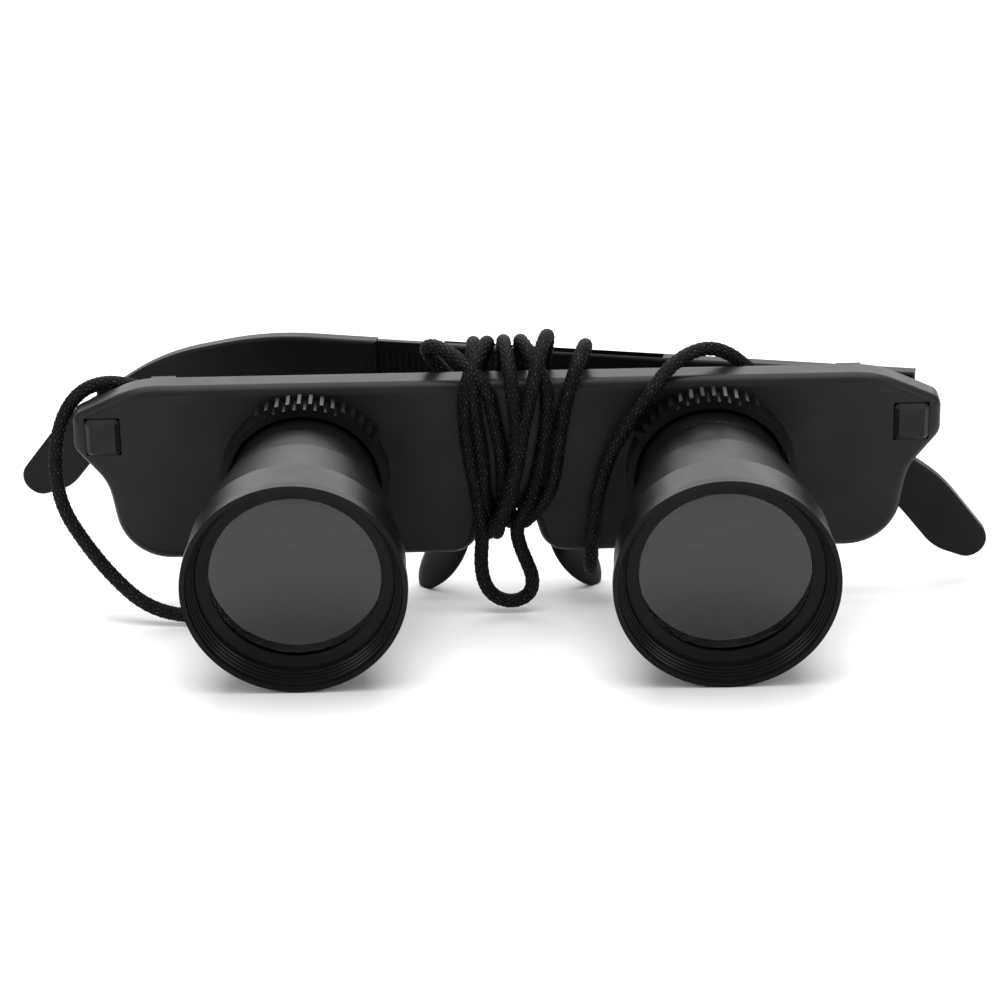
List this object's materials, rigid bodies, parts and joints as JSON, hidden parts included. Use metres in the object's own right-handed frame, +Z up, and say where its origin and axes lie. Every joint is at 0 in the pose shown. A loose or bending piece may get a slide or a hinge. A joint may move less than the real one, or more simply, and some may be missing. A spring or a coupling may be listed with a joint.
{
  "type": "spectacle binoculars",
  "caption": "Hands-free spectacle binoculars with toothed focus rings, folding temples with sliding tips, nose pads and a braided neck cord wound round the bridge.",
  "frame": {"origin": "on the surface it rests on, under the middle of the object without its neck cord", "axes": "+X to the viewer's right, +Y from the objectives back towards the eyes, +Z up; it rests nose down on its two front rims and two nose pads"},
  "size_m": [0.165, 0.0916, 0.0457],
  "materials": {
    "casing_plastic": "satin",
    "barrel_plastic": "satin",
    "ring_plastic": "satin",
    "temple_plastic": "satin",
    "pad_plastic": "satin",
    "optical_glass": "polished",
    "steel_pin": "brushed",
    "braided_cord": "braided"
  },
  "bodies": {
    "frame": {"front_shell": "casing_plastic", "back_cover": "casing_plastic", "cover_screws": "steel_pin", "lanyard_left_strand": "braided_cord", "lanyard_loop": "braided_cord", "lanyard_right_strand": "braided_cord", "lanyard_winding": "braided_cord", "left_guide_sleeve": "barrel_plastic", "left_guide_key": "barrel_plastic", "left_eyepiece_lens": "optical_glass", "left_eyepiece_retainer": "barrel_plastic", "left_hinge_block": "casing_plastic", "left_hinge_pin": "steel_pin", "left_nose_pad": "pad_plastic", "left_cord_lug": "casing_plastic", "right_guide_sleeve": "barrel_plastic", "right_guide_key": "barrel_plastic", "right_eyepiece_lens": "optical_glass", "right_eyepiece_retainer": "barrel_plastic", "right_hinge_block": "casing_plastic", "right_hinge_pin": "steel_pin", "right_nose_pad": "pad_plastic", "right_cord_lug": "casing_plastic"},
    "left_ring": {"left_focus_ring": "ring_plastic"},
    "left_telescope": {"left_barrel": "barrel_plastic", "left_front_cell": "barrel_plastic", "left_objective_lens": "optical_glass", "left_lens_retainer": "barrel_plastic"},
    "left_arm": {"left_temple": "temple_plastic"},
    "left_tip": {"left_temple_tip": "temple_plastic"},
    "right_ring": {"right_focus_ring": "ring_plastic"},
    "right_telescope": {"right_barrel": "barrel_plastic", "right_front_cell": "barrel_plastic", "right_objective_lens": "optical_glass", "right_lens_retainer": "barrel_plastic"},
    "right_arm": {"right_temple": "temple_plastic"},
    "right_tip": {"right_temple_tip": "temple_plastic"}
  },
  "joints": [
    {"name": "left_focus_turn", "type": "hinge", "parent": "frame", "child": "left_ring", "pos_m": [-0.03028, -0.00059, 0.02355], "axis": [0, -0.9894, -0.1455], "range_deg": [-17, 43]},
    {"name": "left_focus_travel", "type": "slide", "parent": "frame", "child": "left_telescope", "axis": [0, -0.9894, -0.1455], "range_m": [-0.00085, 0.00215]},
    {"name": "right_focus_turn", "type": "hinge", "parent": "frame", "child": "right_ring", "pos_m": [0.03572, -0.00059, 0.02355], "axis": [0, -0.9894, -0.1455], "range_deg": [-43, 17]},
    {"name": "right_focus_travel", "type": "slide", "parent": "frame", "child": "right_telescope", "axis": [0, -0.9894, -0.1455], "range_m": [-0.00215, 0.00085]},
    {"name": "left_temple_fold", "type": "hinge", "parent": "frame", "child": "left_arm", "pos_m": [-0.06278, 0.01015, 0.03301], "axis": [0, -0.1455, 0.9894], "range_deg": [0, 0.2]},
    {"name": "right_temple_fold", "type": "hinge", "parent": "frame", "child": "right_arm", "pos_m": [0.06822, 0.01015, 0.03301], "axis": [0, 0.1455, -0.9894], "range_deg": [0, 78.4]},
    {"name": "left_tip_slide", "type": "slide", "parent": "left_arm", "child": "left_tip", "axis": [0.9999, -0.0155, -0.0023], "range_m": [-0.0026, 0.0015]},
    {"name": "right_tip_slide", "type": "slide", "parent": "right_arm", "child": "right_tip", "axis": [-0.9796, 0.1989, 0.0293], "range_m": [-0.011, 0.005]}
  ],
  "couplings": [
    {"joint": "left_focus_travel", "follows": "left_focus_turn", "m_per_rad": 0.00286},
    {"joint": "right_focus_travel", "follows": "right_focus_turn", "m_per_rad": 0.00286}
  ]
}
